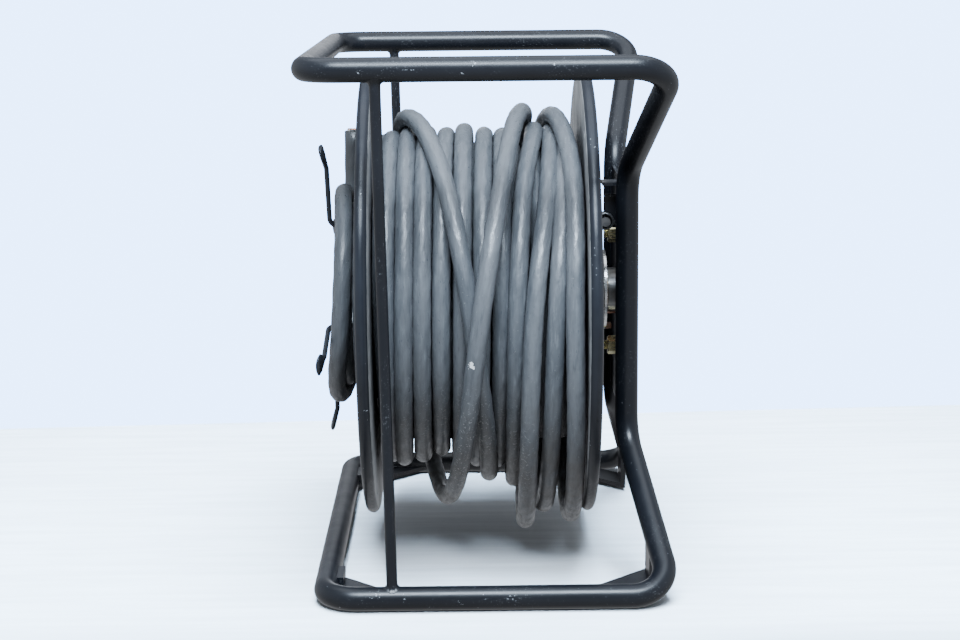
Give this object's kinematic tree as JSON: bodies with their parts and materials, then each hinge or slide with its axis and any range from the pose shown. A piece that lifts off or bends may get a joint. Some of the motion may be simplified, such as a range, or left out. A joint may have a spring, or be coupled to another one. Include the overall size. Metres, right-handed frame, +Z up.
{
  "type": "cable reel",
  "caption": "Floor-standing steel cable reel: a bent tube carrying frame with a cantilevered drum, wound with thick rubber cable, its cut lead stored on hooks.",
  "frame": {"origin": "on the floor, under the middle of the frame's box", "axes": "+X along the axle towards the axle's mounting plate, +Y along the carrying handle, +Z up"},
  "size_m": [0.3445, 0.5112, 0.5032],
  "materials": {
    "frame_black": "satin black paint, scuffed",
    "flange_black": "satin black paint, worn through on the inner faces",
    "hook_steel": "black painted rod",
    "bare_steel": "plain machined steel",
    "yellow_zinc": "yellow passivated zinc plate",
    "bright_zinc": "bright zinc plate",
    "spring_steel": "drawn wire, dull",
    "copper": "bare copper",
    "terminal_brass": "tarnished bronze",
    "bush_bronze": "plain bearing bronze",
    "pad_rubber": "black moulded rubber",
    "cable_sheath": "dusty grey rubber sheath with a faint lay"
  },
  "bodies": {
    "frame": {"axle": "bare_steel", "axle_bolts": "yellow_zinc", "axle_nuts": "yellow_zinc", "axle_washers": "yellow_zinc", "back_plate": "frame_black", "brake_bracket": "frame_black", "brake_pin": "bare_steel", "brake_spring": "spring_steel", "earth_block": "terminal_brass", "earth_strip": "copper", "far_left_brace": "frame_black", "far_right_brace": "frame_black", "far_strut": "frame_black", "joint_spigots": "bare_steel", "lower_frame_tube": "frame_black", "near_left_brace": "frame_black", "near_right_brace": "frame_black", "near_strut": "frame_black", "retaining_washer": "bright_zinc", "split_pin": "bright_zinc", "upper_frame_tube": "frame_black"},
    "drum": {"cable_hook_1": "hook_steel", "cable_hook_2": "hook_steel", "cable_hook_3": "hook_steel", "cable_hook_4": "hook_steel", "cable_inner_run": "cable_sheath", "contact_disc": "bright_zinc", "drum_core": "flange_black", "hub_tube": "bare_steel", "lead_coil": "cable_sheath", "lead_entry": "cable_sheath", "lead_tail": "cable_sheath", "left_bush": "bush_bronze", "left_flange": "flange_black", "right_bush": "bush_bronze", "right_flange": "flange_black", "slot_trim": "pad_rubber", "tie_nuts": "bright_zinc", "tie_rods": "bright_zinc", "wound_cable": "cable_sheath"},
    "brake": {"brake_lever": "hook_steel", "brake_pad": "pad_rubber"}
  },
  "joints": [
    {"name": "drum_spin", "type": "hinge", "parent": "frame", "child": "drum", "pos_m": [0, 0, 0.2537], "axis": [1, 0, 0], "continuous": true},
    {"name": "brake_pivot", "type": "hinge", "parent": "frame", "child": "brake", "pos_m": [0.118, -0.048, 0.3315], "axis": [0, 1, 0], "range_deg": [0, 4], "stiffness_Nm_per_rad": 0.6}
  ]
}
